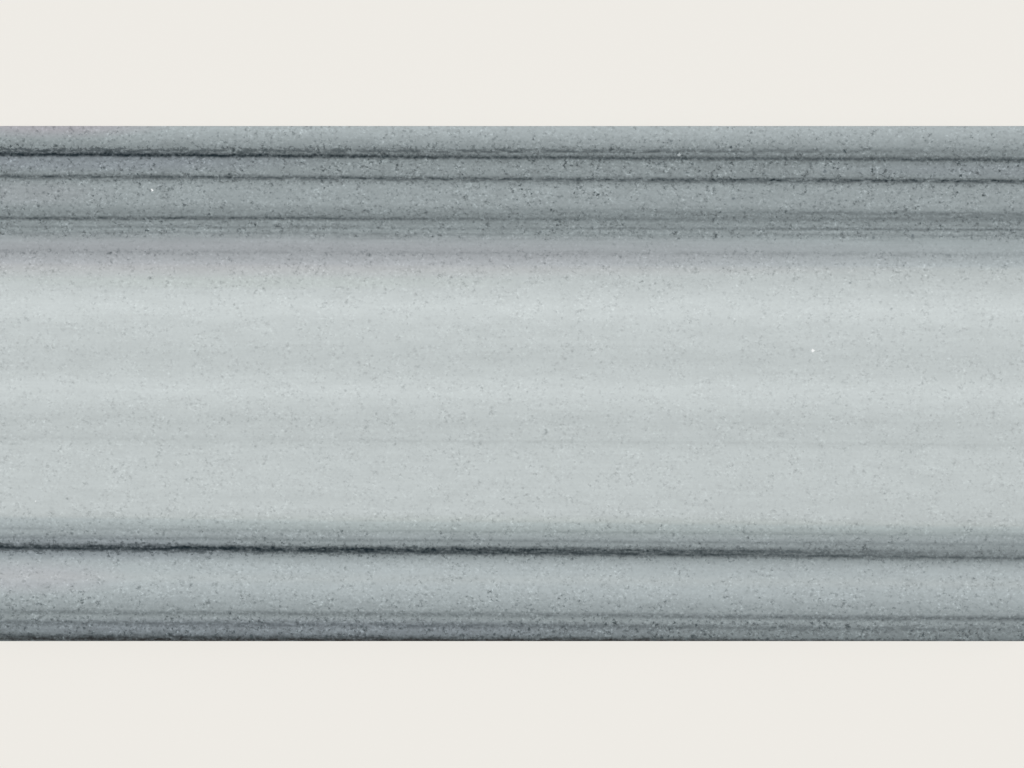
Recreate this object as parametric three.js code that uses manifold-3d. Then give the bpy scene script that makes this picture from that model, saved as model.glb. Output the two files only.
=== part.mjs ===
// A rectangular slab of banded marble, sawn from the block and honed on one face.
//
// The slab lies flat with its honed face up. X runs along its length, which is the
// direction of the bands in the stone, Y runs across the bands and Z is up. The origin
// is the middle of the sawn underside, the face that is bedded or rests on a surface.
//
// Two sections describe the whole slab. One is its outline seen from the front, and the
// other its outline seen from the end. Each has a square lower edge, as the saw leaves
// it, and an upper edge that is eased with a small radius. Both are extruded right
// across the slab, and the slab is what the two solids have in common, so the eased
// edges meet in a mitre at each corner, as they do when each side is eased in turn.

import * as THREE from "three";
import { mergeVertices } from "three/addons/utils/BufferGeometryUtils.js";
import Module from "manifold-3d";

// Driving dimensions, in millimetres.
const LENGTH = 610;
const WIDTH = 305;
const THICKNESS = 20;
const EASED_RADIUS = 0.4; // of the arris around the honed face
const ARC_SEGMENTS = 4; // in each eased edge
const OVERRUN = 5; // how far each extruded section runs past the other one's ends

const HONED_MARBLE = new THREE.MeshStandardMaterial({
  name: "honed_marble",
  color: "#b4bbbb",
  roughness: 0.4,
  metalness: 0,
});

// A section of the slab, `span` wide and centred, standing on y = 0 in its own plane.
function slabSection(span) {
  const side = span / 2;
  const shoulder = THICKNESS - EASED_RADIUS;
  const section = new THREE.Shape();
  section.moveTo(-side, 0);
  section.lineTo(side, 0);
  section.lineTo(side, shoulder);
  section.absarc(side - EASED_RADIUS, shoulder, EASED_RADIUS, 0, Math.PI / 2);
  section.lineTo(-side + EASED_RADIUS, THICKNESS);
  section.absarc(-side + EASED_RADIUS, shoulder, EASED_RADIUS, Math.PI / 2, Math.PI);
  section.lineTo(-side, 0);
  return section;
}

// That section pulled out to `depth`, centred on the middle of the slab, standing up.
function standingExtrusion(span, depth) {
  const pulled = depth + 2 * OVERRUN;
  return new THREE.ExtrudeGeometry(slabSection(span), {
    depth: pulled,
    curveSegments: ARC_SEGMENTS,
    bevelEnabled: false,
  })
    .translate(0, 0, -pulled / 2)
    .rotateX(Math.PI / 2);
}

// A three.js geometry as a manifold-3d solid, with only its positions kept.
function toSolid(wasm, geometry) {
  const bare = geometry.clone();
  bare.deleteAttribute("normal");
  bare.deleteAttribute("uv");
  const merged = mergeVertices(bare, 1e-4);
  return new wasm.Manifold(
    new wasm.Mesh({
      numProp: 3,
      vertProperties: merged.attributes.position.array,
      triVerts: new Uint32Array(merged.index.array),
    }),
  );
}

// And back again.
function toGeometry(solid) {
  const { vertProperties, triVerts } = solid.getMesh();
  const geometry = new THREE.BufferGeometry();
  geometry.setAttribute("position", new THREE.BufferAttribute(vertProperties, 3));
  geometry.setIndex(new THREE.BufferAttribute(triVerts, 1));
  geometry.computeVertexNormals();
  return geometry;
}

const wasm = await Module();
wasm.setup();

const frontSection = standingExtrusion(LENGTH, WIDTH);
const endSection = standingExtrusion(WIDTH, LENGTH).rotateZ(Math.PI / 2);
const slabSolid = toSolid(wasm, frontSection).intersect(toSolid(wasm, endSection));

const slab = new THREE.Mesh(toGeometry(slabSolid), HONED_MARBLE);
slab.name = "slab";

const part = new THREE.Group();
part.add(slab);

export default part;
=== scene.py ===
# %% [markdown]
# # A slab of banded grey marble
# The object is one piece of stone: a rectangle of marble, 20 mm thick, sawn from the block with its beds
# running the long way, then honed on one face. Nothing is fixed to it and nothing moves, so there is one
# piece to make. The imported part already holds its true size, so this script takes every position from there
# and gives the stone what a plain solid lacks: eased arrises, sawn edges and back, and the beds themselves.

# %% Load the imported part
import math

import bpy
import numpy as np
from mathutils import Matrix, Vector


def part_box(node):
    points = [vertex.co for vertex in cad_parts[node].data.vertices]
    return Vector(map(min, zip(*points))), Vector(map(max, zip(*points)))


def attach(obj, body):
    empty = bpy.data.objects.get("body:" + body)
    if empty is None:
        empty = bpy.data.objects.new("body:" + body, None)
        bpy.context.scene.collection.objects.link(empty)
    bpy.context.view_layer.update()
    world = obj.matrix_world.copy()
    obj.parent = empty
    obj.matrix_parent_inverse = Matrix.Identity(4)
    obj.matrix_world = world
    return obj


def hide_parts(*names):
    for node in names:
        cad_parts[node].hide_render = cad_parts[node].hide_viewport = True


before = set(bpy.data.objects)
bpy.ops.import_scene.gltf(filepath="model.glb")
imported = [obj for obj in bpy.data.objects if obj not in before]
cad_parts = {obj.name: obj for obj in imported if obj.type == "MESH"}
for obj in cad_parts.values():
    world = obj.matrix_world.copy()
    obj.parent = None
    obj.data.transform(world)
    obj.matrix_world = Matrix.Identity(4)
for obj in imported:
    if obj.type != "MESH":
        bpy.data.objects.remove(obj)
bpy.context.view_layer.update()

low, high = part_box("slab")
length, width, thickness = high - low
MM = 0.001
print(f"slab: {length / MM:.0f} x {width / MM:.0f} x {thickness / MM:.0f} mm")

# %% [markdown]
# ## The camera
# A stone supplier records a slab lying flat, square on and from far away, so that its long edges stay
# parallel. A long lens does the same here. The view is a little narrower than the slab is long, so the two
# ends run out of the picture while the floor shows along both long edges.

# %% Camera
LENS = 135.0
SENSOR = 36.0
VIEW_WIDTH = length - 4.0 * MM
AIM_BELOW_CENTRE = 0.25 * MM

camera_data = bpy.data.cameras.new("copy_camera")
camera_data.lens = LENS
camera_data.sensor_width = SENSOR
camera = bpy.data.objects.new("copy_camera", camera_data)
camera.location = (0.0, -AIM_BELOW_CENTRE, high.z + VIEW_WIDTH * LENS / SENSOR)
bpy.context.scene.collection.objects.link(camera)
bpy.context.scene.camera = camera
print(f"camera: {camera.location.z:.2f} m above the floor, looking straight down")

# %% [markdown]
# ## Colour
# Every colour below is written as an sRGB hex value, the way a paint or stone sample is read off, and one
# function turns it into the linear light that shader sockets expect. The view transform is the plain one,
# so that a colour comes out of the render as it was chosen. A second function adds a shader node and joins
# it up. Its inputs go by name or by number: on a Map Range, 1 and 2 are the range read and 3 and 4 the range
# written.

# %% Colour helper
bpy.context.scene.view_settings.view_transform = "Standard"


def linear(hex_colour):
    """sRGB hex to linear RGBA: below a small value a straight line, above it the 2.4 power curve."""
    channels = np.array([int(hex_colour[i:i + 2], 16) for i in (1, 3, 5)]) / 255
    curve = ((channels + 0.055) / 1.055) ** 2.4
    return (*np.where(channels <= 0.04045, channels / 12.92, curve).tolist(), 1.0)


def add(tree, kind, sockets=None, **settings):
    """Adds one shader node. Settings are its own properties, sockets gives its inputs values or outputs."""
    made = tree.nodes.new("ShaderNode" + kind)
    for name, value in settings.items():
        setattr(made, name, value)
    for key, value in (sockets or {}).items():
        if isinstance(value, bpy.types.NodeSocket):
            tree.links.new(value, made.inputs[key])
        else:
            made.inputs[key].default_value = value
    return made


print("a mid grey of #808080 is", round(linear("#808080")[0], 3), "in linear light")

# %% [markdown]
# ## Light
# Flat stone is lit like a painting: most of the light comes straight down through a polarising sheet, so
# that it shows the colour and never its own reflection. In Blender that is a lamp left out of glossy rays.
# It is narrow, so the 20 mm step at the slab's edge throws next to no shadow on the floor. Two wide, weak
# lamps from the sides and an even pale room shape the edges and give the satin face something to reflect
# when it is seen from the side. Suns are used because their light is the same all over.

# %% Lamps and room
LAMPS = (
    # name, turn from the zenith, turn about it, strength, how wide the lamp looks, seen in reflections
    ("overhead_sheet", 0, 0, 2.12, 8, False),
    ("left_softbox", 50, -80, 0.24, 60, True),
    ("right_softbox", 50, 100, 0.30, 60, True),
)
ROOM_LIGHT = 0.22
PALE_GROUND = "#eeebe5"

for name, tilt, turn, strength, spread, reflects in LAMPS:
    lamp_data = bpy.data.lights.new(name, "SUN")
    lamp_data.energy = strength
    lamp_data.angle = math.radians(spread)
    lamp = bpy.data.objects.new(name, lamp_data)
    lamp.rotation_euler = (math.radians(tilt), 0.0, math.radians(turn))
    lamp.visible_glossy = reflects
    bpy.context.scene.collection.objects.link(lamp)

world = bpy.data.worlds.new("pale_room")
world.use_nodes = True
world.node_tree.nodes.clear()
room = add(world.node_tree, "Background", {"Color": (1, 1, 1, 1), "Strength": ROOM_LIGHT})
backdrop = add(world.node_tree, "Background", {"Color": linear(PALE_GROUND), "Strength": 1.0})
seen_directly = add(world.node_tree, "LightPath").outputs["Is Camera Ray"]
both = add(world.node_tree, "MixShader", {0: seen_directly, 1: room.outputs[0], 2: backdrop.outputs[0]})
add(world.node_tree, "OutputWorld", {"Surface": both.outputs[0]})
bpy.context.scene.world = world
print(f"light: {len(LAMPS)} lamps and a room at {ROOM_LIGHT}")

# %% [markdown]
# ## The floor
# Stone samples are often laid on a light table, an opal sheet that glows from below, because its own light
# fills the shadow at their edges. So a good half of this floor's brightness is its own and the rest is the
# lamps' light on it. It is far wider than any view of it, and matt, so its specular level is nothing.

# %% Floor
FLOOR_HALF = 40.0
FLOOR_DROP = 0.05 * MM
OWN_LIGHT = 0.6
OPAL_UNLIT = "#9e9c98"

corners = np.array([(-1, -1), (1, -1), (1, 1), (-1, 1)]) * FLOOR_HALF
floor_mesh = bpy.data.meshes.new("studio_floor")
floor_mesh.from_pydata([(x, y, low.z - FLOOR_DROP) for x, y in corners], [], [(0, 1, 2, 3)])
floor = bpy.data.objects.new("studio_floor", floor_mesh)
bpy.context.scene.collection.objects.link(floor)

opal = bpy.data.materials.new("opal_sheet")
opal.use_nodes = True
opal_shader = opal.node_tree.nodes["Principled BSDF"]
opal_shader.inputs["Base Color"].default_value = linear(OPAL_UNLIT)
opal_shader.inputs["Emission Color"].default_value = linear(PALE_GROUND)
opal_shader.inputs["Emission Strength"].default_value = OWN_LIGHT
opal_shader.inputs["Roughness"].default_value = 1.0
opal_shader.inputs["Specular IOR Level"].default_value = 0.0
floor_mesh.materials.append(opal)
print(f"floor: {2 * FLOOR_HALF:.0f} m square")

# %% [markdown]
# ## The shape of the slab
# A cube with a bevel would do for the outline, but a real slab has a story in each face. The top is ground
# flat. The arris around it is eased lightly by hand with a pad, so its radius wanders by a tenth of a
# millimetre. The edges and the back are left from the saw, within a tenth of a millimetre of true.
# The surface is made in three parts that share their rims: a grid for the top, a profile carried around the
# outline for the arris and the edges, and a grid for the back.

# %% Outline and grids
STEP = 3.0 * MM
columns = round(length / STEP) + 1
rows = round(width / STEP) + 1
rng = np.random.default_rng(7)


def wander(along, wavelengths):
    """A smooth wandering line from -1 to 1: the mean of sines of these wavelengths, each with its phase."""
    phases = rng.uniform(0, 2 * np.pi, len(wavelengths))
    waves = [np.sin(2 * np.pi * along / w + p) for w, p in zip(wavelengths, phases)]
    return np.mean(waves, axis=0)


def face_grid(z):
    """A flat grid over the slab's outline: x across the columns, y up the rows, all at height z."""
    x, y = np.meshgrid(np.linspace(low.x, high.x, columns), np.linspace(low.y, high.y, rows))
    return np.stack([x, y, np.full_like(x, z)], axis=-1)


number = np.arange(rows * columns).reshape(rows, columns)
rim = np.concatenate([number[0, :-1], number[:-1, -1], number[-1, :0:-1], number[:0:-1, 0]])
outline = face_grid(0.0).reshape(-1, 3)[rim, :2]
step_lengths = np.linalg.norm(np.roll(outline, -1, axis=0) - outline, axis=1)
travel = np.cumsum(step_lengths) - step_lengths
print(f"outline: {len(rim)} points, {step_lengths.sum():.2f} m around")

# %% [markdown]
# The profile starts on the rim of the top, rolls over the arris in a quarter circle and runs down the sawn
# edge. Each of its points is a ring around the slab, drawn in from the outline by its inset. Saw wander is
# part of the inset, and only ever takes stone away, so the piece stays inside the part's true size.

# %% Arris and sawn edges
ARRIS_RADIUS = 0.4 * MM
ARRIS_WANDER = 0.08 * MM
ARRIS_STEPS = 6
EDGE_STEPS = 8
SAW_WANDER = 0.06 * MM

radius = ARRIS_RADIUS + ARRIS_WANDER * wander(travel, (0.31, 0.17, 0.083, 0.041))
saw_inset = SAW_WANDER * (0.5 + 0.5 * wander(travel, (0.42, 0.19, 0.071, 0.023)))
roll = np.linspace(0, np.pi / 2, ARRIS_STEPS + 1)[:, None]
arris_inset = saw_inset + radius * (1 - np.sin(roll))
arris_height = high.z - radius * (1 - np.cos(roll))
fall = np.linspace(0, 1, EDGE_STEPS + 1)[1:, None]
edge_height = arris_height[-1] + fall * (low.z - arris_height[-1])
edge_inset = np.repeat(saw_inset[None], EDGE_STEPS, axis=0)
inset = np.concatenate([arris_inset, edge_inset])
height = np.concatenate([arris_height, edge_height])

ring_x = np.clip(outline[:, 0], low.x + inset, high.x - inset)
ring_y = np.clip(outline[:, 1], low.y + inset, high.y - inset)
rings = np.stack([ring_x, ring_y, height], axis=-1)
print(f"arris radius: {radius.min() / MM:.2f} to {radius.max() / MM:.2f} mm over {len(rings)} rings")

# %% [markdown]
# The back keeps the low ridges that the gang saw left as its blades swung through the block: long ripples
# about a finger's breadth apart and a tenth of a millimetre deep. They only rise from the plane that the
# slab rests on.

# %% Sawn back
RIDGE_PITCH = 14.0 * MM
RIDGE_HEIGHT = 0.1 * MM
BLADE_SWING = 4.0 * MM
SWINGS = 9

back = face_grid(low.z)
swing = back[..., 1] + BLADE_SWING * np.cos(back[..., 0] * SWINGS)
inside = np.minimum(np.abs(back[..., 0] - low.x), np.abs(high.x - back[..., 0]))
inside = np.minimum(inside, np.minimum(back[..., 1] - low.y, high.y - back[..., 1]))
ridges = 0.5 - 0.5 * np.cos(2 * np.pi * swing / RIDGE_PITCH)
back[..., 2] += RIDGE_HEIGHT * ridges * np.clip(inside / (2 * STEP), 0, 1)
print(f"back: ridges {RIDGE_HEIGHT / MM:.1f} mm high, {RIDGE_PITCH / MM:.0f} mm apart")

# %% [markdown]
# The three parts are joined in one list of points. The first ring is the rim of the top grid and the last
# is the rim of the back, so no point is doubled and the surface has no gap. Every face is turned so that it
# looks outwards. Only the arris and the sawn faces are shaded smooth, because the honed face is truly flat.

# %% Closed surface
top = face_grid(high.z).reshape(-1, 3)
back = back.reshape(-1, 3)
top[rim] = rings[0]
back[rim] = rings[-1]
points = np.concatenate([top, rings[1:-1].reshape(-1, 3), back])

loops = [rim]
for ring in range(1, len(rings) - 1):
    loops.append(len(top) + (ring - 1) * len(rim) + np.arange(len(rim)))
loops.append(len(points) - len(back) + rim)
loops = np.array(loops)

top_faces = np.stack([number[:-1, :-1], number[:-1, 1:], number[1:, 1:], number[1:, :-1]], axis=-1)
top_faces = top_faces.reshape(-1, 4)
back_faces = top_faces[:, ::-1] + (len(points) - len(back))
onward = np.roll(loops, -1, axis=1)
edge_faces = np.stack([loops[1:], onward[1:], onward[:-1], loops[:-1]], axis=-1).reshape(-1, 4)
faces = np.concatenate([top_faces, edge_faces, back_faces])

slab_mesh = bpy.data.meshes.new("marble_slab")
slab_mesh.from_pydata(points, [], faces)
slab_mesh.polygons.foreach_set("use_smooth", np.arange(len(faces)) >= len(top_faces))
slab_mesh.set_sharp_from_angle(angle=math.radians(35))
slab = bpy.data.objects.new("marble_slab", slab_mesh)
bpy.context.scene.collection.objects.link(slab)
print(f"marble_slab: {len(points)} vertices, {2 * len(faces)} triangles")

# %% [markdown]
# ## Flattening the surface
# Two maps follow the surface. The first lays all of it out in one square, so that the stone can be painted
# into a picture when the part leaves Blender. Such a map is often found by unwrapping, but a slab's faces
# are plain rectangles and can be laid down side by side. The honed face is the largest, and the back lies
# beyond it at three quarters of its scale.

# %% Layout of the honed face and the back
GAP = 0.006
BACK_SHARE = 0.74

corner = faces.reshape(-1)
at = points[corner]
n_top = 4 * len(top_faces)
n_edge = 4 * len(edge_faces)
is_top = np.arange(len(corner)) < n_top
is_back = np.arange(len(corner)) >= n_top + n_edge
is_edge = ~is_top & ~is_back

full = 1 - 2 * GAP
top_tall = full * width / length
layout = np.zeros((len(corner), 2))
across = (at[:, :2] - (low.x, low.y)) / length
layout[is_top] = GAP + full * across[is_top]
layout[is_back, 0] = GAP + full * BACK_SHARE * across[is_back, 0]
layout[is_back, 1] = 2 * GAP + top_tall + full * BACK_SHARE * across[is_back, 1]
print(f"layout: the honed face takes {full:.2f} by {top_tall:.2f} of the square")

# %% [markdown]
# The edges are laid beyond the back as strips, each with its bit of arris along one side. The two long ones
# have a row each and the two short ones share a row. Where a corner of a face lies along its strip follows
# from its place around the outline, and how far across from its ring.

# %% Layout of the edges
ARRIS_STRIP = 0.06
SIDE_SHARE = 0.98
SIDE_SPACE = 1.02

strip = full * (thickness + ARRIS_RADIUS) / length
segment = np.tile(np.arange(len(rim)), len(loops) - 1)
ring_of = np.repeat(np.arange(len(loops) - 1), len(rim))
side_start = np.cumsum([0, columns - 1, rows - 1, columns - 1])
side = np.searchsorted(side_start, segment, side="right") - 1
run = (segment - side_start[side])[:, None] + (0, 1, 1, 0)
side_length = np.array([length, width, length, width])[side][:, None]
side_count = np.array([columns, rows, columns, rows])[side][:, None] - 1
run = run / side_count * side_length
arris_drop = np.linspace(0, ARRIS_STRIP, ARRIS_STEPS + 1)
profile_drop = np.concatenate([arris_drop, np.linspace(ARRIS_STRIP, 1, EDGE_STEPS + 1)[1:]])
drop = profile_drop[ring_of[:, None] + (1, 1, 0, 0)]
strips_from = 3 * GAP + top_tall + full * BACK_SHARE * width / length
row_of_side = np.array([0, 2, 1, 2])[side][:, None]
shift_of_side = np.array([0, 0, 0, width])[side][:, None]
layout[is_edge, 0] = (GAP + full * (run + shift_of_side * SIDE_SPACE) / length * SIDE_SHARE).reshape(-1)
layout[is_edge, 1] = (strips_from + row_of_side * (strip + GAP) + strip * drop).reshape(-1)
print("layout spans", layout.min(0).round(3), "to", layout.max(0).round(3))

# %% [markdown]
# The second map measures the stone in metres the way the saw travelled over it: on the edges a round blade,
# lowered just through the slab, leaves each scratch as a shallow arc of its rim, and on the back the gang
# saw ran the long way. A scratch is far longer than wide, so the map is pressed together along the way that
# the saw ran. Each point also carries how sawn it is: not at all on the honed face and fully on the edges
# and the back, with nearly all of the change low on the arris.

# %% Travel of the saw
BLADE_RADIUS = 0.2
BLADE_BELOW = 2.0 * MM
ALONG_THE_SAW = 0.02
ALONG_THE_ARC = 0.1
HONED_CORNER = 8

rise = at[:, 2] - low.z + BLADE_BELOW
arc = np.sqrt(np.maximum(2 * BLADE_RADIUS * rise - rise ** 2, 0))
saw = np.stack([at[:, 1] + BLADE_SWING * np.cos(at[:, 0] * SWINGS), at[:, 0] * ALONG_THE_SAW], axis=-1)
saw[is_edge, 0] = run.reshape(-1) - arc[is_edge]
saw[is_edge, 1] = arc[is_edge] * ALONG_THE_ARC

for name, values in (("OFBake", layout), ("saw_travel", saw)):
    slab_mesh.uv_layers.new(name=name).uv.foreach_set("vector", values.astype(np.float32).ravel())

sawn = np.ones(len(points))
sawn[:len(top)] = 0.0
arris_share = np.repeat(np.linspace(0, 1, ARRIS_STEPS + 1)[1:] ** HONED_CORNER, len(rim))
sawn[len(top):len(top) + len(arris_share)] = arris_share
slab_mesh.attributes.new("sawn", "FLOAT", "POINT").data.foreach_set("value", sawn.astype(np.float32))
print(f"sawn: {np.mean(sawn > 0.5):.0%} of the points")

# %% [markdown]
# ## The stone
# Banded grey marble is limestone that was buried and pressed until it recrystallised. The beds are its old
# layers: clean lime made the pale ones, a little clay or graphite the grey, and films of mica and graphite
# the near-black seams. Painting lines on a flat image would stop at the arris. Here the pattern is solid
# instead: every tone depends on where a point lies in the block, so the beds run on through the thickness.
# The colour of honed marble depends on how much clay the lime held. One ramp gives it, from clean lime to
# the darkest clay, and everything else about the beds is said in per cent of clay.

# %% From clay to colour
CLAY_COLOURS = (
    # clay in per cent, honed colour
    (0, "#cfd6d6"),
    (29, "#b8bfbf"),
    (37, "#b0b9bb"),
    (55, "#a0a9ab"),
    (100, "#6b7476"),
)
print("from clean lime", CLAY_COLOURS[0][1], "to clay", CLAY_COLOURS[-1][1])

# %% [markdown]
# The logs below are read across the slab at mid-length from its back edge, as a mason would. The first one
# walks through the beds and says how much clay each holds where its tone turns.

# %% Log of the beds
BEDS = (
    # bed, then distance from the back edge in mm and clay in per cent
    ("back bed", ((0, 40), (4, 45), (10, 65), (13, 78), (17, 81), (21, 82))),
    ("blue bed", ((23, 75), (25, 73), (28, 76), (31, 79))),
    ("upper grey bed", ((33, 77), (35, 69), (37, 62), (46, 64), (48, 69), (51, 79), (55, 82))),
    ("striped bed", ((57, 78), (60, 75), (64, 71))),
    ("lilac bed", ((66, 67), (68, 57), (70, 54), (76, 55))),
    ("fading bed", ((80, 44), (83, 33), (87, 25), (92, 21), (97, 15))),
    ("first white bed", ((103, 7), (107, 3), (112, 5))),
    ("cloudy bed", ((119, 13), (128, 14), (136, 20), (146, 16))),
    ("second white bed", ((154, 7), (158, 6))),
    ("shaded bed", ((168, 16), (175, 23), (181, 20), (187, 23))),
    ("broad pale bed", ((192, 17), (215, 16), (221, 19), (226, 17), (230, 20))),
    ("darkening bed", ((233, 27), (236, 39), (239, 53), (243, 60), (245, 71), (254, 79))),
    ("lower pale bed", ((256, 69), (258, 56), (260, 45), (263, 38), (269, 33), (273, 37), (278, 45))),
    ("front bed", ((281, 53), (285, 63), (290, 71), (294, 72), (297, 78), (301, 89), (306, 100))),
)
turns = [turn for bed_name, bed_turns in BEDS for turn in bed_turns]
print(f"beds: {len(BEDS)}, with {len(turns)} turns of tone over {turns[-1][0]} mm")

# %% [markdown]
# The second log holds the habit of the beds: how speckled each is with dark grains and how streaky with
# laminae. A 0 stands for none and a 1 for the most that this stone shows.

# %% Log of habit
HABITS = (
    # distance in mm, speckled, streaky
    (0, 0.44, 0.10),
    (9, 0.60, 0.15),
    (14, 0.85, 0.30),
    (19, 1.00, 0.15),
    (29, 1.00, 0.10),
    (33, 0.74, 0.10),
    (46, 0.71, 0.15),
    (55, 0.72, 0.70),
    (58, 0.78, 0.95),
    (62, 0.84, 0.95),
    (65, 0.80, 0.90),
    (68, 0.22, 0.60),
    (72, 0.22, 0.30),
    (76, 0.47, 0.15),
    (100, 0.24, 0.15),
    (160, 0.24, 0.20),
    (175, 0.27, 0.20),
    (225, 0.24, 0.20),
    (234, 0.38, 0.30),
    (240, 0.49, 0.50),
    (248, 0.66, 0.40),
    (254, 0.58, 0.20),
    (262, 0.40, 0.10),
    (272, 0.40, 0.10),
    (282, 0.64, 0.20),
    (290, 0.67, 0.30),
    (296, 1.00, 0.40),
    (306, 1.00, 0.35),
)
print(f"habit: {len(HABITS)} entries")

# %% [markdown]
# The third log holds the slant of the beds. No two are quite parallel, since each was thicker on one side,
# so each falls by its own few millimetres for every metre of slab.

# %% Log of slant
SLANTS = (
    # distance in mm, fall in mm for each metre
    (0, 6.0),
    (18, 5.7),
    (31, 4.6),
    (55, 3.3),
    (75, 2.8),
    (110, 4.5),
    (160, 6.0),
    (205, 8.0),
    (232, 10.0),
    (252, 8.5),
    (289, 6.5),
    (306, 5.0),
)
falls = [fall for mm, fall in SLANTS]
print(f"slant: {min(falls)} to {max(falls)} mm per m")

# %% [markdown]
# The seams are too thin and too sharp to be turns of a bed, so each has a line of its own: where it meets
# the two ends of the slab, how far it spreads above and below its heart, how broken it is, and how dark it
# is at five stations along it. The two boldest are several films lying close together, so they take two or
# three lines each.

# %% Log of the seams
SEAMS = (
    # mm at left, at right, spread above, below, broken, then dark at left, a quarter, middle, on to right
    (14.6, 15.4, 2.2, 1.6, 1.0, (0.26, 0.22, 0.34, 0.25, 0.00)),
    (16.6, 20.2, 2.8, 2.6, 0.3, (0.80, 0.78, 0.54, 0.43, 0.50)),
    (16.9, 20.5, 1.3, 1.5, 0.2, (0.66, 0.66, 0.36, 0.30, 0.38)),
    (29.8, 32.9, 2.4, 2.3, 0.6, (0.48, 0.50, 0.47, 0.55, 0.58)),
    (46.9, 52.2, 1.8, 2.4, 0.8, (0.00, 0.00, 0.06, 0.14, 0.22)),
    (54.6, 55.5, 2.1, 2.0, 0.5, (0.50, 0.54, 0.30, 0.18, 0.20)),
    (59.7, 61.4, 1.4, 1.4, 0.5, (0.20, 0.20, 0.15, 0.30, 0.36)),
    (63.0, 65.4, 1.2, 1.2, 0.9, (0.09, 0.09, 0.08, 0.08, 0.06)),
    (73.5, 75.7, 1.8, 2.0, 0.9, (0.06, 0.05, 0.05, 0.05, 0.06)),
    (184.6, 189.2, 1.8, 1.6, 0.8, (0.04, 0.04, 0.04, 0.04, 0.03)),
    (238.1, 242.6, 1.5, 1.4, 0.9, (0.10, 0.10, 0.12, 0.12, 0.10)),
    (243.3, 248.1, 1.5, 1.5, 0.9, (0.14, 0.15, 0.14, 0.13, 0.10)),
    (248.8, 253.2, 3.4, 2.3, 0.35, (0.70, 0.76, 0.70, 0.50, 0.00)),
    (249.4, 256.0, 2.3, 3.0, 0.35, (0.50, 0.52, 0.58, 0.44, 0.25)),
    (249.5, 255.9, 1.2, 1.2, 0.4, (0.28, 0.28, 0.28, 0.30, 0.28)),
    (287.3, 291.7, 2.7, 2.6, 0.5, (0.27, 0.28, 0.31, 0.39, 0.44)),
    (293.8, 298.2, 3.2, 2.6, 0.4, (0.23, 0.31, 0.35, 0.27, 0.12)),
    (303.2, 307.6, 4.5, 2.2, 0.4, (0.68, 0.74, 0.86, 0.90, 0.82)),
)
print(f"seams: {len(SEAMS)} lines")

# %% [markdown]
# Around some seams lie crumbs of the same dark mineral. They are logged in the same way, only without the
# number for broken, because crumbs are never joined up. The seams themselves are blue-black, save the one
# along the front edge, which is a warmer black. The ink log holds the colour of a seam where no light stone
# is left in it.

# %% Logs of crumbs and ink
CRUMBS = (
    # mm at left, at right, spread above, below, then dark at left, a quarter, middle, on to right
    (14.4, 15.8, 4.5, 3.2, (0.60, 0.42, 0.30, 0.14, 0.00)),
    (31.0, 33.8, 3.0, 4.5, (0.20, 0.20, 0.20, 0.24, 0.24)),
    (51.5, 53.5, 4.0, 4.0, (0.06, 0.07, 0.10, 0.14, 0.14)),
    (63.5, 65.0, 2.5, 2.5, (0.10, 0.09, 0.07, 0.12, 0.14)),
    (74.3, 76.3, 2.5, 3.0, (0.11, 0.10, 0.10, 0.10, 0.10)),
    (249.4, 254.6, 6.5, 6.0, (0.40, 0.40, 0.36, 0.28, 0.16)),
    (294.6, 298.6, 8.0, 5.0, (0.20, 0.20, 0.20, 0.20, 0.20)),
    (303.4, 307.2, 6.0, 4.0, (0.42, 0.42, 0.45, 0.45, 0.45)),
)
INKS = (
    # distance in mm, colour of a seam with no light stone left in it
    (299, "#031921"),
    (304, "#232322"),
)
print(f"crumbs: {len(CRUMBS)} belts")

# %% [markdown]
# ## Reading a log
# A Color Ramp node blends between stops, as a mason would between two entries of a log. It holds no more
# than 32 of them, and a log can have more entries, so a log is read by a chain of ramps that meet end to
# end. Each ramp serves its own stretch, and past its start it takes over from the one before.

# %% Log reader
STOPS_PER_RAMP = 26


def read_log(tree, distance, entries):
    """A chain of Color Ramps that reads a log of (distance, colour) entries and blends between them."""
    reading = None
    for first in range(0, len(entries) - 1, STOPS_PER_RAMP - 1):
        chosen = entries[first:first + STOPS_PER_RAMP]
        start, end = chosen[0][0], chosen[-1][0]
        part = add(tree, "MapRange", {"Value": distance, 1: start, 2: end, 3: 0.0, 4: 1.0}).outputs[0]
        ramp = add(tree, "ValToRGB", {0: part})
        stops = ramp.color_ramp.elements
        while len(stops) < len(chosen):
            stops.new(0.5)
        for stop, (mm, colour) in zip(stops, chosen):
            stop.position = (mm - start) / (end - start)
            stop.color = colour
        if reading is None:
            reading = ramp.outputs[0]
        else:
            past = add(tree, "Math", {0: distance, 1: start}, operation="GREATER_THAN").outputs[0]
            reading = add(tree, "MixRGB", {0: past, 1: reading, 2: ramp.outputs[0]}).outputs[0]
    return reading


def grey(value):
    """A log entry that is a plain number, as the colour that a Color Ramp stop holds."""
    return (value, value, value, 1.0)


print(f"the log of the beds takes {math.ceil((len(turns) - 1) / (STOPS_PER_RAMP - 1))} ramps")

# %% [markdown]
# ## Where a point lies in the beds
# The beds dip through the thickness of the slab and wander a little along it. Their distance from the back
# edge, with both taken off, is the level that the seams are drawn against. With the slant taken off as well
# it is the bed distance, against which the logs are read. The seams are ragged too: a fine noise shifts
# their level by half a millimetre or so.

# %% Marble: bed distance
DIP = 0.2
WANDER = 1.0
WANDER_SIZE = (150, 40, 60)
RAGGED = 1.6
RAG_SIZE = (3.5, 14, 14)

marble = bpy.data.materials.new("honed_banded_marble")
marble.use_nodes = True
tree = marble.node_tree
tree.nodes.clear()

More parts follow.
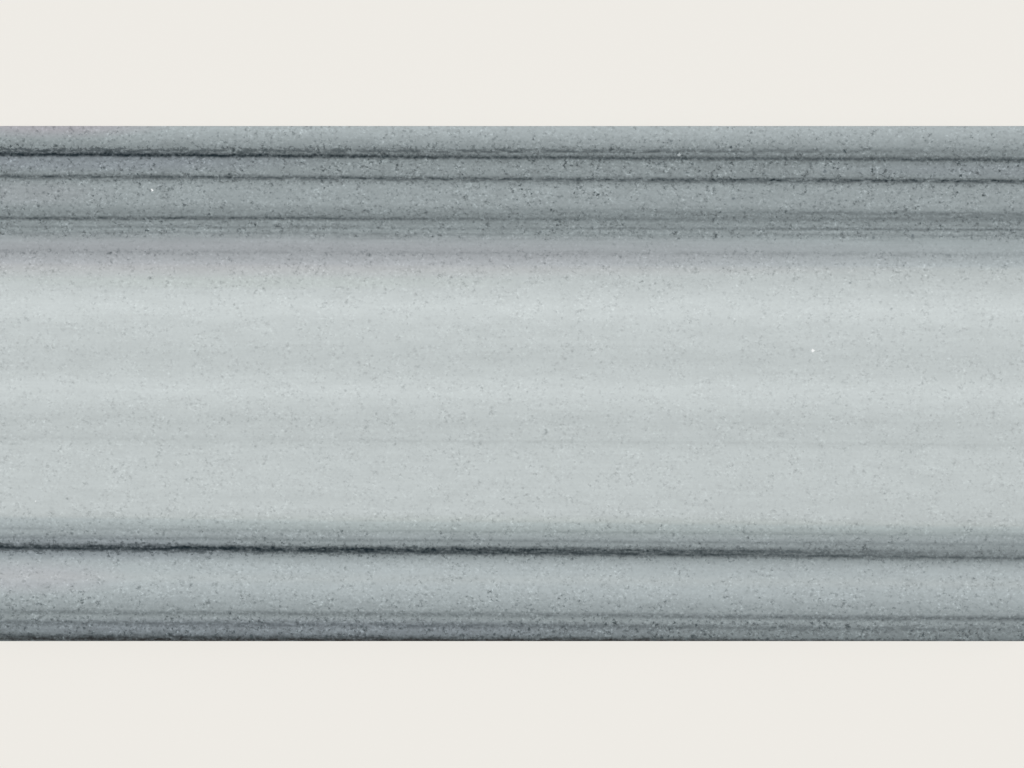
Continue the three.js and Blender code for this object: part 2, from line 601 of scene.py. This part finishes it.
place = add(tree, "TexCoord").outputs["Object"]
place_mm = add(tree, "VectorMath", {0: place, "Scale": 1 / MM}, operation="SCALE").outputs[0]
axes = add(tree, "SeparateXYZ", {0: place_mm})
along = axes.outputs["X"]
from_back = add(tree, "Math", {0: high.y / MM, 1: axes.outputs["Y"]}, operation="SUBTRACT").outputs[0]
below_top = add(tree, "Math", {0: high.z / MM, 1: axes.outputs["Z"]}, operation="SUBTRACT").outputs[0]
dipped = add(tree, "Math", {0: below_top, 1: -DIP, 2: from_back}, operation="MULTIPLY_ADD").outputs[0]

slow_place = add(tree, "VectorMath", {0: place_mm, 1: WANDER_SIZE}, operation="DIVIDE").outputs[0]
slow = {"Vector": slow_place, "Scale": 1.0, "Detail": 2.0, "Roughness": 0.4}
slow = add(tree, "TexNoise", slow).outputs[0]
slow = add(tree, "Math", {0: slow, 1: 0.5}, operation="SUBTRACT").outputs[0]
level = add(tree, "Math", {0: slow, 1: WANDER, 2: dipped}, operation="MULTIPLY_ADD").outputs[0]

slant = read_log(tree, level, [(mm, grey(fall / 1000)) for mm, fall in SLANTS])
fallen = add(tree, "Math", {0: along, 1: slant}, operation="MULTIPLY").outputs[0]
bed = add(tree, "Math", {0: level, 1: fallen}, operation="SUBTRACT").outputs[0]
bed_place = add(tree, "CombineXYZ", {0: along, 1: bed, 2: below_top}).outputs[0]

rag_place = add(tree, "VectorMath", {0: bed_place, 1: RAG_SIZE}, operation="DIVIDE").outputs[0]
ragged = add(tree, "TexNoise", {"Vector": rag_place, "Scale": 1.0, "Detail": 2.0}).outputs[0]
ragged = add(tree, "Math", {0: ragged, 1: 0.5}, operation="SUBTRACT").outputs[0]
seam_level = add(tree, "Math", {0: ragged, 1: RAGGED, 2: level}, operation="MULTIPLY_ADD").outputs[0]
print("bed distance: dip, wander and slant joined")

# %% [markdown]
# ## Bed tones
# Within a bed the clay is never even. Fine laminae, two millimetres thick and a finger long, follow the
# bedding, and soft clouds two centimetres long and under a centimetre thick drift along it. Both are noise
# stretched along the beds and laid over the tone that the log gives. The clouds are stronger in the speckled
# beds, whose finest crumbs are too small to be seen one by one.

# %% Marble: bed tones
LAMINA_DEPTH = 0.09
LAMINA_SIZE = (55, 1.9, 55)
CLOUD_DEPTH = 0.019
CLOUD_OF_CRUMBS = 0.04
CLOUD_SIZE = (22, 7, 22)

clay = read_log(tree, bed, [(mm, grey(per_cent / 100)) for mm, per_cent in turns])
tone = read_log(tree, clay, [(per_cent / 100, linear(colour)) for per_cent, colour in CLAY_COLOURS])
habit = read_log(tree, bed, [(mm, (speckled, streaky, 0, 1)) for mm, speckled, streaky in HABITS])
habit = add(tree, "SeparateColor", {0: habit})
speckle, streak = habit.outputs[0], habit.outputs[1]

lamina_place = add(tree, "VectorMath", {0: bed_place, 1: LAMINA_SIZE}, operation="DIVIDE").outputs[0]
laminae = add(tree, "TexNoise", {"Vector": lamina_place, "Scale": 1.0, "Detail": 2.0}).outputs[0]
laminae = add(tree, "MapRange", {"Value": laminae, 1: 0.3, 2: 0.7, 3: -1.0, 4: 1.0}).outputs[0]
cloud_place = add(tree, "VectorMath", {0: bed_place, 1: CLOUD_SIZE}, operation="DIVIDE").outputs[0]
clouds = add(tree, "TexNoise", {"Vector": cloud_place, "Scale": 1.0, "Detail": 3.0}).outputs[0]
clouds = add(tree, "MapRange", {"Value": clouds, 1: 0.3, 2: 0.7, 3: -1.0, 4: 1.0}).outputs[0]

lamina_part = add(tree, "Math", {0: laminae, 1: streak}, operation="MULTIPLY").outputs[0]
shade = add(tree, "Math", {0: lamina_part, 1: LAMINA_DEPTH, 2: 1.0}, operation="MULTIPLY_ADD").outputs[0]
cloud_depth = {0: speckle, 1: CLOUD_OF_CRUMBS, 2: CLOUD_DEPTH}
cloud_depth = add(tree, "Math", cloud_depth, operation="MULTIPLY_ADD").outputs[0]
shade = add(tree, "Math", {0: clouds, 1: cloud_depth, 2: shade}, operation="MULTIPLY_ADD").outputs[0]
shaded = add(tree, "VectorMath", {0: tone, "Scale": shade}, operation="SCALE").outputs[0]
print("bed tones: the logs, laminae and clouds")

# %% [markdown]
# ## Tinges and painted shade
# A trace of iron stains the stone faintly pink, and a trace of finely spread graphite turns it blue. Both
# lie in soft lenses along the beds, most of them towards the left end. Two grey lenses at the right end are
# painted shade that darkens that end of the slab. Each is an ellipse that multiplies the tone by a nearly
# white tint.

# %% Marble: tinges and painted shade
IRON_PINK = "#fff0f5"
GRAPHITE_BLUE = "#fbfaff"
CHLORITE_GREEN = "#fcfff8"
# grey: painted shade that darkens the right end of the slab
PAINTED_SHADE_GREY = "#fafafa"
TINGES_AND_SHADE = (
    # along, from the back, half length, half width (mm), tint, strength
    (-274, 0, 74, 10, IRON_PINK, 0.85),
    (-250, 22, 150, 8, GRAPHITE_BLUE, 1.0),
    (-290, 41, 60, 9, IRON_PINK, 0.2),
    (-190, 77, 540, 14.5, IRON_PINK, 0.43),
    (-150, 93, 180, 5, CHLORITE_GREEN, 0.25),
    (300, 25, 130, 6, GRAPHITE_BLUE, 0.5),
    (-250, 252, 130, 9, GRAPHITE_BLUE, 0.8),
    (60, 237, 420, 7, CHLORITE_GREEN, 0.35),
    (-290, 269, 70, 12, IRON_PINK, 0.36),
    (-130, 299, 260, 8, GRAPHITE_BLUE, 1.0),
    # painted shade: two grey lenses darken the right end of the slab
    (270, 255, 330, 55, PAINTED_SHADE_GREY, 1.0),
    (270, 20, 330, 40, PAINTED_SHADE_GREY, 0.8),
)

for x, y, half_length, half_width, tint, strength in TINGES_AND_SHADE:
    offset = add(tree, "VectorMath", {0: bed_place, 1: (x, y, 0)}, operation="SUBTRACT").outputs[0]
    lens = (1 / half_length, 1 / half_width, 1 / half_length)
    offset = add(tree, "VectorMath", {0: offset, 1: lens}, operation="MULTIPLY").outputs[0]
    reach = add(tree, "VectorMath", {0: offset}, operation="LENGTH").outputs["Value"]
    amount = add(tree, "MapRange", {"Value": reach, 1: 1.0, 2: 0.4, 3: 0.0, 4: strength}).outputs[0]
    shaded = add(tree, "MixRGB", {0: amount, 1: shaded, 2: linear(tint)}, blend_type="MULTIPLY").outputs[0]
print(f"tinges: {len(TINGES_AND_SHADE)} lenses")

# %% [markdown]
# ## Grain
# Marble is a mosaic of calcite grains one to two millimetres across. Four things show it on a honed face:
# each grain is a shade paler or darker than its neighbours, dark crumbs lie where graphite fills the
# joints, single round dots where a grain lets the eye deep into the stone, and paler flecks where a
# cleavage plane sends the light back, which is a painted reflection. They gather in patches a centimetre or
# two across, and dark beds show them more strongly. The noises are read on a turned place, because a noise
# cut straight along its own lattice shows it in rows.

# %% Marble: crumbs, flecks and patches
GRAIN_TURN = (0.5, 0.6, 0.4)
GRAIN_STRETCH = 0.9
CRUMB_CELL = 2.15
FLECK_CELL = 1.4
PATCH_CELL = 9.0

drawn_in = {0: place_mm, 1: (GRAIN_STRETCH, 1.0, 1.0)}
drawn_in = add(tree, "VectorMath", drawn_in, operation="MULTIPLY").outputs[0]
turned = {"Vector": drawn_in, "Rotation": GRAIN_TURN}
grain_place = add(tree, "VectorRotate", turned, rotation_type="EULER_XYZ").outputs[0]
crumb_noise = {"Vector": grain_place, "Scale": 1 / CRUMB_CELL, "Detail": 3.0, "Roughness": 0.75}
crumb_noise = add(tree, "TexNoise", crumb_noise).outputs[0]
grainy = add(tree, "MapRange", {"Value": crumb_noise, 1: 0.40, 2: 0.60, 3: 0.0, 4: 1.0}).outputs[0]
fleck_noise = {"Vector": grain_place, "Scale": 1 / FLECK_CELL, "Detail": 2.0}
fleck_noise = add(tree, "TexNoise", fleck_noise).outputs[0]
patches = add(tree, "TexNoise", {"Vector": place_mm, "Scale": 1 / PATCH_CELL, "Detail": 2.0}).outputs[0]
patches = add(tree, "MapRange", {"Value": patches, 1: 0.35, 2: 0.65, 3: 0.4, 4: 1.6}).outputs[0]
speckled = add(tree, "Math", {0: speckle, 1: patches}, operation="MULTIPLY").outputs[0]
crumbs = add(tree, "MapRange", {"Value": crumb_noise, 1: 0.45, 2: 0.28, 3: 0.0, 4: 1.0}).outputs[0]
# flecks: painted reflection, the light that cleavage planes send back, drawn as paler colour
flecks = add(tree, "MapRange", {"Value": fleck_noise, 1: 0.58, 2: 0.80, 3: 0.0, 4: 1.0}).outputs[0]
print(f"crumbs of {CRUMB_CELL} mm and flecks of {FLECK_CELL} mm in patches of {PATCH_CELL:.0f} mm")

# %% [markdown]
# The mosaic and the dots come from Voronoi cells, one grain to a cell. Their place is frayed with the crumb
# noise first, so that no grain has a straight side. Every cell holds a dot. In four out of ten it is of the
# smallest size, and in the others it is larger by the cell's own random number.

# %% Marble: mosaic and dots
MOSAIC_CELL = 2.0
DOT_CELL = 3.4
GROWN_DOTS = 0.58
DOT_SIZES = (0.12, 0.38)

frayed = add(tree, "VectorMath", {0: grain_place, 1: crumb_noise}, operation="ADD").outputs[0]
mosaic = add(tree, "TexVoronoi", {"Vector": frayed, "Scale": 1 / MOSAIC_CELL}).outputs["Color"]
mosaic = add(tree, "SeparateColor", {0: mosaic}).outputs[0]
dot_cells = add(tree, "TexVoronoi", {"Vector": frayed, "Scale": 1 / DOT_CELL})
dot_rank = add(tree, "SeparateColor", {0: dot_cells.outputs["Color"]}).outputs[0]
dot_size = {"Value": dot_rank, 1: 1 - GROWN_DOTS, 2: 1.0, 3: DOT_SIZES[0], 4: DOT_SIZES[1]}
dot_size = add(tree, "MapRange", dot_size).outputs[0]
dots = add(tree, "Math", {0: dot_size, 1: dot_cells.outputs["Distance"]}, operation="SUBTRACT").outputs[0]
dots = add(tree, "MapRange", {"Value": dots, 1: 0.0, 2: 0.2, 3: 0.0, 4: 1.0}).outputs[0]
print(f"mosaic of {MOSAIC_CELL:.0f} mm grains, dots about {DOT_CELL} mm apart")

# %% [markdown]
# ## Seams
# A seam is seldom even. Noise drawn out along the beds makes it swell here and thin out there, and gathers
# crumbs in strings. The dark film of a seam lies between the calcite grains, so the pale grains show through
# it, and the film is thinner wherever the noise that makes the paler grains is high.

# %% Marble: swelling and film
SWELL_SIZE = (9, 2, 9)
GATHERING = (0.35, 1.05)
SHOW_THROUGH = 1.55

swell_place = add(tree, "VectorMath", {0: bed_place, 1: SWELL_SIZE}, operation="DIVIDE").outputs[0]
swell = {"Vector": swell_place, "Scale": 1.0, "Detail": 2.0, "Roughness": 0.6}
swell = add(tree, "TexNoise", swell).outputs[0]
swell = add(tree, "Math", {0: swell, 1: crumb_noise}, operation="ADD").outputs[0]
swell = add(tree, "MapRange", {"Value": swell, 1: 0.84, 2: 1.16, 3: -1.0, 4: 1.0}).outputs[0]
gathering = {"Value": swell, 1: -1.0, 2: 1.0, 3: GATHERING[0], 4: GATHERING[1]}
gathering = add(tree, "MapRange", gathering).outputs[0]
film = {0: fleck_noise, 1: -SHOW_THROUGH, 2: 1 + SHOW_THROUGH / 2}
film = add(tree, "Math", film, operation="MULTIPLY_ADD").outputs[0]
print("swelling and film: ready for the seams")

# %% [markdown]
# Each seam is a peak: a soft slope up and a soft slope down, made with two Map Range nodes, of which the
# lower one counts. It lies along a straight line from one end of the slab to the other.

# %% Marble: one belt
half_span = 0.5 * length / MM
share = add(tree, "MapRange", {"Value": along, 1: -half_span, 2: half_span, 3: 0.0, 4: 1.0}).outputs[0]


def peak_along(at_left, at_right, above, below):
    """A belt along the slab: 1 on a straight line from end to end, easing to 0 above and below it."""
    tilt = (at_right - at_left) / (2 * half_span)
    centre = (at_right + at_left) / 2
    straight = add(tree, "Math", {0: along, 1: -tilt, 2: seam_level}, operation="MULTIPLY_ADD").outputs[0]
    rise = {"Value": straight, 1: centre - above, 2: centre, 3: 0.0, 4: 1.0}
    drop = {"Value": straight, 1: centre, 2: centre + below, 3: 1.0, 4: 0.0}
    rise = add(tree, "MapRange", rise, interpolation_type="SMOOTHSTEP").outputs[0]
    drop = add(tree, "MapRange", drop, interpolation_type="SMOOTHSTEP").outputs[0]
    return add(tree, "Math", {0: rise, 1: drop}, operation="MINIMUM").outputs[0]


print(f"belts reach {half_span:.0f} mm to each side of the middle")

# %% [markdown]
# The swelling thickens a seam's peak and opens gaps in the broken ones. A belt of crumbs turns dark only
# the grains whose noise is lower than its peak, so crumbs lie thick in the middle and scattered at the rim.
# All are multiplied into one measure of how clear the stone is.

# %% Marble: seams
CRUMB_EDGE = 0.2

clear = None
for at_left, at_right, above, below, *how, stations in SEAMS + CRUMBS:
    peak = peak_along(at_left, at_right, above, below)
    if how:
        swelling = add(tree, "Math", {0: swell, 1: how[0], 2: film}, operation="MULTIPLY_ADD").outputs[0]
        line = add(tree, "Math", {0: peak, 1: swelling}, operation="MULTIPLY").outputs[0]
    else:
        patchy = add(tree, "Math", {0: peak, 1: gathering}, operation="MULTIPLY").outputs[0]
        over = add(tree, "Math", {0: patchy, 1: grainy}, operation="SUBTRACT").outputs[0]
        line = add(tree, "MapRange", {"Value": over, 1: 0.0, 2: CRUMB_EDGE, 3: 0.0, 4: 1.0}).outputs[0]
    spots = [(i / (len(stations) - 1), grey(dark)) for i, dark in enumerate(stations)]
    darkness = read_log(tree, share, spots)
    line = add(tree, "Math", {0: line, 1: darkness}, operation="MULTIPLY", use_clamp=True).outputs[0]
    light_left = add(tree, "Math", {0: 1.0, 1: line}, operation="SUBTRACT").outputs[0]
    if clear is None:
        clear = light_left
    else:
        clear = add(tree, "Math", {0: clear, 1: light_left}, operation="MULTIPLY").outputs[0]
ink = read_log(tree, level, [(mm, linear(colour)) for mm, colour in INKS])
seamed = add(tree, "MixRGB", {0: clear, 1: ink, 2: shaded}).outputs[0]
print(f"seams: {len(SEAMS) + len(CRUMBS)} belts drawn over the beds")

# %% [markdown]
# The grain goes on last. Crumbs and dots darken whatever they lie in. The mosaic and the flecks make it a
# little paler or darker, the flecks' painted reflection only where no seam covers them.

# %% Marble: grain over the beds
CRUMB_DEPTH = 0.96
DOT_DEPTH = 0.5
PAINTED_FLECK_DEPTH = 0.45
MOSAIC_DEPTH = 0.14
MOTTLE_DEPTH = 0.6
STRING_DEPTH = 0.06
DARK_GRAIN = "#3f494c"

crumb_part = add(tree, "Math", {0: crumbs, 1: CRUMB_DEPTH}, operation="MULTIPLY").outputs[0]
dark_part = add(tree, "Math", {0: dots, 1: DOT_DEPTH, 2: crumb_part}, operation="MULTIPLY_ADD").outputs[0]
dark_part = add(tree, "Math", {0: dark_part, 1: speckled}, operation="MULTIPLY").outputs[0]
darkened = add(tree, "MixRGB", {0: dark_part, 1: seamed, 2: linear(DARK_GRAIN)}).outputs[0]

mottle = add(tree, "Math", {0: fleck_noise, 1: 0.5}, operation="SUBTRACT").outputs[0]
mottle = add(tree, "Math", {0: mottle, 1: MOTTLE_DEPTH}, operation="MULTIPLY").outputs[0]
# the flecks' painted reflection, kept only where no seam covers them
painted_fleck_light = add(tree, "Math", {0: flecks, 1: clear}, operation="MULTIPLY").outputs[0]
mottle = add(tree, "Math", {0: painted_fleck_light, 1: PAINTED_FLECK_DEPTH, 2: mottle}, operation="MULTIPLY_ADD").outputs[0]
shift = add(tree, "Math", {0: mosaic, 1: 0.5}, operation="SUBTRACT").outputs[0]
mottle = add(tree, "Math", {0: shift, 1: MOSAIC_DEPTH, 2: mottle}, operation="MULTIPLY_ADD").outputs[0]
mottle = add(tree, "Math", {0: swell, 1: STRING_DEPTH, 2: mottle}, operation="MULTIPLY_ADD").outputs[0]
mottle = add(tree, "Math", {0: mottle, 1: speckled, 2: 1.0}, operation="MULTIPLY_ADD").outputs[0]
stone = add(tree, "VectorMath", {0: darkened, "Scale": mottle}, operation="SCALE").outputs[0]
print("grain laid over the beds")

# %% [markdown]
# A few single grains stand out from the rest: three clear crystals whose glint is a painted highlight of
# white, one pale grain and some larger dark ones. Each is a small ball in the block, and noise added to the
# place pulls its outline about, so that it looks broken and not drilled.

# %% Marble: single grains
# white: a painted highlight, the glint of a cleavage face drawn as colour
PAINTED_GLINT = "#f8faf9"
PALE = "#bcc4c6"
DARK = "#59646a"
GRAINS = (
    # along, from the back, radius (mm), colour, strength
    (178, 133, 0.9, PAINTED_GLINT, 1.0),
    (-213, 38, 0.6, PAINTED_GLINT, 1.0),
    (-282, 222, 0.5, PAINTED_GLINT, 0.6),
    (99, 17, 0.9, PALE, 0.8),
    (131, 43, 1.0, DARK, 0.7),
    (185, 27, 1.0, DARK, 0.6),
    (237, 65, 0.9, DARK, 0.7),
    (214, 66, 0.8, DARK, 0.6),
    (94, 9, 0.7, DARK, 0.6),
    (200, 93, 0.7, DARK, 0.5),
)
BROKEN = (1.6, 1.6, 1.6)

slab_place = add(tree, "CombineXYZ", {0: along, 1: from_back, 2: below_top}).outputs[0]
pulls = add(tree, "TexNoise", {"Vector": place_mm, "Scale": 1.0, "Detail": 1.0}).outputs["Color"]
pulls = add(tree, "VectorMath", {0: pulls, 1: (0.5, 0.5, 0.5)}, operation="SUBTRACT").outputs[0]
pulled = add(tree, "VectorMath", {0: pulls, 1: BROKEN, 2: slab_place}, operation="MULTIPLY_ADD").outputs[0]
for x, y, grain_radius, shade_hex, strength in GRAINS:
    away = add(tree, "VectorMath", {0: pulled, 1: (x, y, 0)}, operation="DISTANCE").outputs["Value"]
    rim_fade = {"Value": away, 1: 1.3 * grain_radius, 2: 0.7 * grain_radius, 3: 0.0, 4: strength}
    amount = add(tree, "MapRange", rim_fade).outputs[0]
    stone = add(tree, "MixRGB", {0: amount, 1: stone, 2: linear(shade_hex)}).outputs[0]
print(f"single grains: {len(GRAINS)}")

# %% [markdown]
# ## Finish
# Honing stops short of a polish, so the face has a satin sheen and no mirror image: roughness about 0.4.
# Sawn stone is rougher and scatters more light, so it looks paler and flatter, and it keeps the blade's
# scratches as a fine relief. The real ones are a few tenths of a millimetre wide, too fine to show, so they
# are drawn a millimetre or so wide.

# %% Marble: sawn colour and relief
SAWN_PALE = "#c9cfd0"
SAWN_PALENESS = 0.28
SCRATCH_SIZE = 1.4 * MM
SCRATCH_RELIEF = 4.0
GRAIN_RELIEF = 0.4
RELIEF_HEIGHT = 0.02 * MM

sawn_part = add(tree, "Attribute", attribute_name="sawn").outputs["Fac"]
pale_part = add(tree, "Math", {0: sawn_part, 1: SAWN_PALENESS}, operation="MULTIPLY").outputs[0]
colour = add(tree, "MixRGB", {0: pale_part, 1: stone, 2: linear(SAWN_PALE)}).outputs[0]

saw_place = add(tree, "UVMap", uv_map="saw_travel").outputs[0]
saw_place = add(tree, "VectorMath", {0: saw_place, "Scale": 1 / SCRATCH_SIZE}, operation="SCALE").outputs[0]
scratches = {"Vector": saw_place, "Scale": 1.0, "Detail": 2.0, "Roughness": 0.7}
scratches = add(tree, "TexNoise", scratches).outputs[0]
scratches = add(tree, "Math", {0: scratches, 1: sawn_part}, operation="MULTIPLY").outputs[0]
relief = add(tree, "Math", {0: fleck_noise, 1: GRAIN_RELIEF}, operation="MULTIPLY").outputs[0]
relief = add(tree, "Math", {0: scratches, 1: SCRATCH_RELIEF, 2: relief}, operation="MULTIPLY_ADD").outputs[0]
bump = add(tree, "Bump", {"Strength": 0.35, "Distance": RELIEF_HEIGHT, "Height": relief}).outputs[0]
print(f"relief: {RELIEF_HEIGHT / MM:.2f} mm, scratches {SCRATCH_SIZE / MM:.1f} mm wide")

# %% [markdown]
# Calcite's refractive index lies between 1.49 and 1.66, and 1.56 stands for it. The dark crumbs are softer
# than calcite and hone less smooth, so they are a little rougher than the rest.

# %% Marble: shader
CALCITE_IOR = 1.56
HONED_ROUGHNESS = 0.4
SAWN_ROUGHNESS = 0.75
DARK_GRAIN_ROUGHER = 0.15

roughness = {"Value": sawn_part, 1: 0.0, 2: 1.0, 3: HONED_ROUGHNESS, 4: SAWN_ROUGHNESS}
roughness = add(tree, "MapRange", roughness).outputs[0]
roughness = {0: dark_part, 1: DARK_GRAIN_ROUGHER, 2: roughness}
roughness = add(tree, "Math", roughness, operation="MULTIPLY_ADD").outputs[0]
shader = add(tree, "BsdfPrincipled", {
    "Base Color": colour,
    "Roughness": roughness,
    "IOR": CALCITE_IOR,
    "Normal": bump,
}).outputs[0]
add(tree, "OutputMaterial", {"Surface": shader})
slab_mesh.materials.append(marble)
print(f"marble: {len(tree.nodes)} nodes")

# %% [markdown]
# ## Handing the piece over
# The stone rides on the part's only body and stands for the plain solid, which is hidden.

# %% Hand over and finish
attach(slab, "root")
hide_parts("slab")
